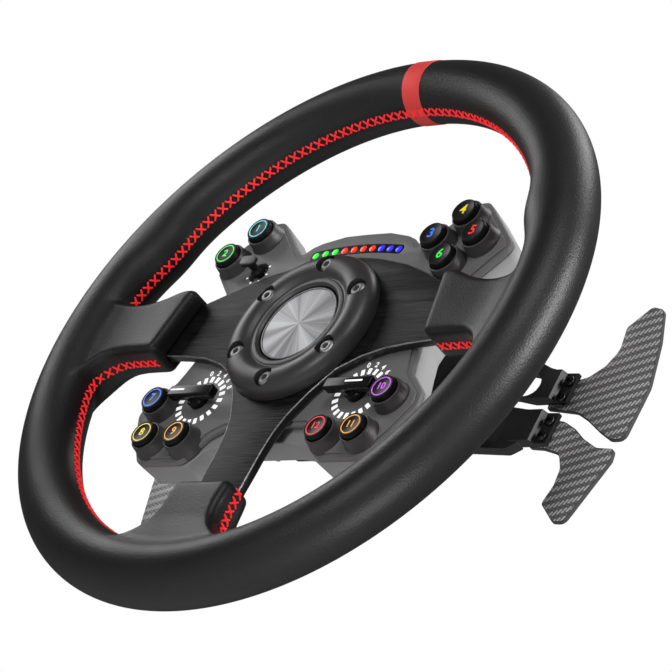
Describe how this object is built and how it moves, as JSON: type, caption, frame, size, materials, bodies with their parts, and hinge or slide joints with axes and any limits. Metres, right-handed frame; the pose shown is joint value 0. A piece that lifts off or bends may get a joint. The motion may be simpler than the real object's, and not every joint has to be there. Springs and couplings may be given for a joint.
{
  "type": "racing wheel",
  "caption": "Round leather-gripped racing simulator wheel with three spokes, button pods, dials, shift lights, carbon paddles and a quick-release hub.",
  "frame": {"origin": "centre of the rear face of the quick release, on the wheel's turning axis", "axes": "+Y away from the driver along the turning axis, +Z towards 12 o'clock, +X towards the driver's right"},
  "size_m": [0.3297, 0.1138, 0.33],
  "materials": {
    "leather_black": "fine-grained, satin",
    "leather_red": "smooth, satin",
    "thread_red": "waxed sewing thread",
    "hoop_steel": "painted, hidden in the grip",
    "brushed_plate": "dark anodised, brushed along the spokes",
    "cover_black": "satin",
    "badge_metal": "spun, radial highlights",
    "bolt_steel": "satin",
    "panel_plastic": "satin, fine texture",
    "housing_plastic": "satin",
    "gloss_black": "gloss",
    "circuit_board": "solder mask",
    "switch_black": "satin",
    "arm_black": "satin powder coat",
    "carbon": "twill carbon fibre, lacquered",
    "screw_black": "black oxide",
    "pin_steel": "ground",
    "hub_black": "black anodised",
    "collar_aluminium": "satin"
  },
  "bodies": {
    "wheel": {"frame_plate": "brushed_plate", "rim_hoop": "hoop_steel", "grip_cover": "leather_black", "top_band": "leather_red", "centre_cover": "cover_black", "centre_badge": "badge_metal", "cover_bolt_1": "bolt_steel", "cover_bolt_2": "bolt_steel", "cover_bolt_3": "bolt_steel", "cover_bolt_4": "bolt_steel", "cover_bolt_5": "bolt_steel", "cover_bolt_6": "bolt_steel", "front_panel": "panel_plastic", "rear_housing": "housing_plastic", "led_window": "gloss_black", "main_board": "circuit_board", "dial_switch_left": "switch_black", "dial_switch_right": "switch_black", "menu_switch": "switch_black", "paddle_bracket": "arm_black", "paddle_pin_left": "pin_steel", "paddle_pin_right": "pin_steel", "qr_hub": "hub_black"},
    "push_button_1": {"button_1": "gloss_black"},
    "push_button_2": {"button_2": "gloss_black"},
    "push_button_3": {"button_3": "gloss_black"},
    "push_button_4": {"button_4": "gloss_black"},
    "push_button_5": {"button_5": "gloss_black"},
    "push_button_6": {"button_6": "gloss_black"},
    "push_button_7": {"button_7": "gloss_black"},
    "push_button_8": {"button_8": "gloss_black"},
    "push_button_9": {"button_9": "gloss_black"},
    "push_button_10": {"button_10": "gloss_black"},
    "push_button_11": {"button_11": "gloss_black"},
    "push_button_12": {"button_12": "gloss_black"},
    "dial_left": {"dial_knob_left": "gloss_black"},
    "dial_right": {"dial_knob_right": "gloss_black"},
    "menu_ring": {"menu_gimbal": "pin_steel"},
    "menu_stick": {"menu_lever": "switch_black"},
    "shift_paddle_left": {"shift_arm_left": "arm_black", "shift_blade_left": "carbon", "shift_screw_left_1": "screw_black", "shift_screw_left_2": "screw_black"},
    "clutch_paddle_left": {"clutch_arm_left": "arm_black", "clutch_blade_left": "carbon", "clutch_screw_left_1": "screw_black", "clutch_screw_left_2": "screw_black"},
    "shift_paddle_right": {"shift_arm_right": "arm_black", "shift_blade_right": "carbon", "shift_screw_right_1": "screw_black", "shift_screw_right_2": "screw_black"},
    "clutch_paddle_right": {"clutch_arm_right": "arm_black", "clutch_blade_right": "carbon", "clutch_screw_right_1": "screw_black", "clutch_screw_right_2": "screw_black"},
    "release_collar": {"qr_collar": "collar_aluminium"}
  },
  "joints": [
    {"name": "button_1_press", "type": "slide", "parent": "wheel", "child": "push_button_1", "axis": [0, 1, 0], "range_m": [0, 0.0015], "stiffness_N_per_m": 1200, "springref_m": -0.0008},
    {"name": "button_2_press", "type": "slide", "parent": "wheel", "child": "push_button_2", "axis": [0, 1, 0], "range_m": [0, 0.0015], "stiffness_N_per_m": 1200, "springref_m": -0.0008},
    {"name": "button_3_press", "type": "slide", "parent": "wheel", "child": "push_button_3", "axis": [0, 1, 0], "range_m": [0, 0.0015], "stiffness_N_per_m": 1200, "springref_m": -0.0008},
    {"name": "button_4_press", "type": "slide", "parent": "wheel", "child": "push_button_4", "axis": [0, 1, 0], "range_m": [0, 0.0015], "stiffness_N_per_m": 1200, "springref_m": -0.0008},
    {"name": "button_5_press", "type": "slide", "parent": "wheel", "child": "push_button_5", "axis": [0, 1, 0], "range_m": [0, 0.0015], "stiffness_N_per_m": 1200, "springref_m": -0.0008},
    {"name": "button_6_press", "type": "slide", "parent": "wheel", "child": "push_button_6", "axis": [0, 1, 0], "range_m": [0, 0.0015], "stiffness_N_per_m": 1200, "springref_m": -0.0008},
    {"name": "button_7_press", "type": "slide", "parent": "wheel", "child": "push_button_7", "axis": [0, 1, 0], "range_m": [0, 0.0015], "stiffness_N_per_m": 1200, "springref_m": -0.0008},
    {"name": "button_8_press", "type": "slide", "parent": "wheel", "child": "push_button_8", "axis": [0, 1, 0], "range_m": [0, 0.0015], "stiffness_N_per_m": 1200, "springref_m": -0.0008},
    {"name": "button_9_press", "type": "slide", "parent": "wheel", "child": "push_button_9", "axis": [0, 1, 0], "range_m": [0, 0.0015], "stiffness_N_per_m": 1200, "springref_m": -0.0008},
    {"name": "button_10_press", "type": "slide", "parent": "wheel", "child": "push_button_10", "axis": [0, 1, 0], "range_m": [0, 0.0015], "stiffness_N_per_m": 1200, "springref_m": -0.0008},
    {"name": "button_11_press", "type": "slide", "parent": "wheel", "child": "push_button_11", "axis": [0, 1, 0], "range_m": [0, 0.0015], "stiffness_N_per_m": 1200, "springref_m": -0.0008},
    {"name": "button_12_press", "type": "slide", "parent": "wheel", "child": "push_button_12", "axis": [0, 1, 0], "range_m": [0, 0.0015], "stiffness_N_per_m": 1200, "springref_m": -0.0008},
    {"name": "dial_left_turn", "type": "hinge", "parent": "wheel", "child": "dial_left", "pos_m": [-0.0532, -0.098, -0.0372], "axis": [0, 1, 0], "continuous": true},
    {"name": "dial_right_turn", "type": "hinge", "parent": "wheel", "child": "dial_right", "pos_m": [0.0532, -0.098, -0.0372], "axis": [0, 1, 0], "continuous": true},
    {"name": "menu_up_down", "type": "hinge", "parent": "wheel", "child": "menu_ring", "pos_m": [-0.0636, -0.0825, 0.045], "axis": [1, 0, 0], "range_deg": [-9, 9], "stiffness_Nm_per_rad": 0.3},
    {"name": "menu_left_right", "type": "hinge", "parent": "menu_ring", "child": "menu_stick", "pos_m": [-0.0636, -0.0825, 0.045], "axis": [0, 0, 1], "range_deg": [-9, 9], "stiffness_Nm_per_rad": 0.3},
    {"name": "shift_paddle_left_pull", "type": "hinge", "parent": "wheel", "child": "shift_paddle_left", "pos_m": [-0.056, -0.03, 0.006], "axis": [0, 0, 1], "range_deg": [0, 5], "stiffness_Nm_per_rad": 4, "springref_deg": -8.59},
    {"name": "clutch_paddle_left_pull", "type": "hinge", "parent": "wheel", "child": "clutch_paddle_left", "pos_m": [-0.056, -0.03, 0.006], "axis": [0, 0, 1], "range_deg": [0, 12], "stiffness_Nm_per_rad": 2, "springref_deg": -11.46},
    {"name": "shift_paddle_right_pull", "type": "hinge", "parent": "wheel", "child": "shift_paddle_right", "pos_m": [0.056, -0.03, 0.006], "axis": [0, 0, -1], "range_deg": [0, 5], "stiffness_Nm_per_rad": 4, "springref_deg": -8.59},
    {"name": "clutch_paddle_right_pull", "type": "hinge", "parent": "wheel", "child": "clutch_paddle_right", "pos_m": [0.056, -0.03, 0.006], "axis": [0, 0, -1], "range_deg": [0, 12], "stiffness_Nm_per_rad": 2, "springref_deg": -11.46},
    {"name": "collar_release", "type": "slide", "parent": "wheel", "child": "release_collar", "axis": [0, -1, 0], "range_m": [0, 0.004], "stiffness_N_per_m": 1500, "springref_m": -0.002}
  ]
}
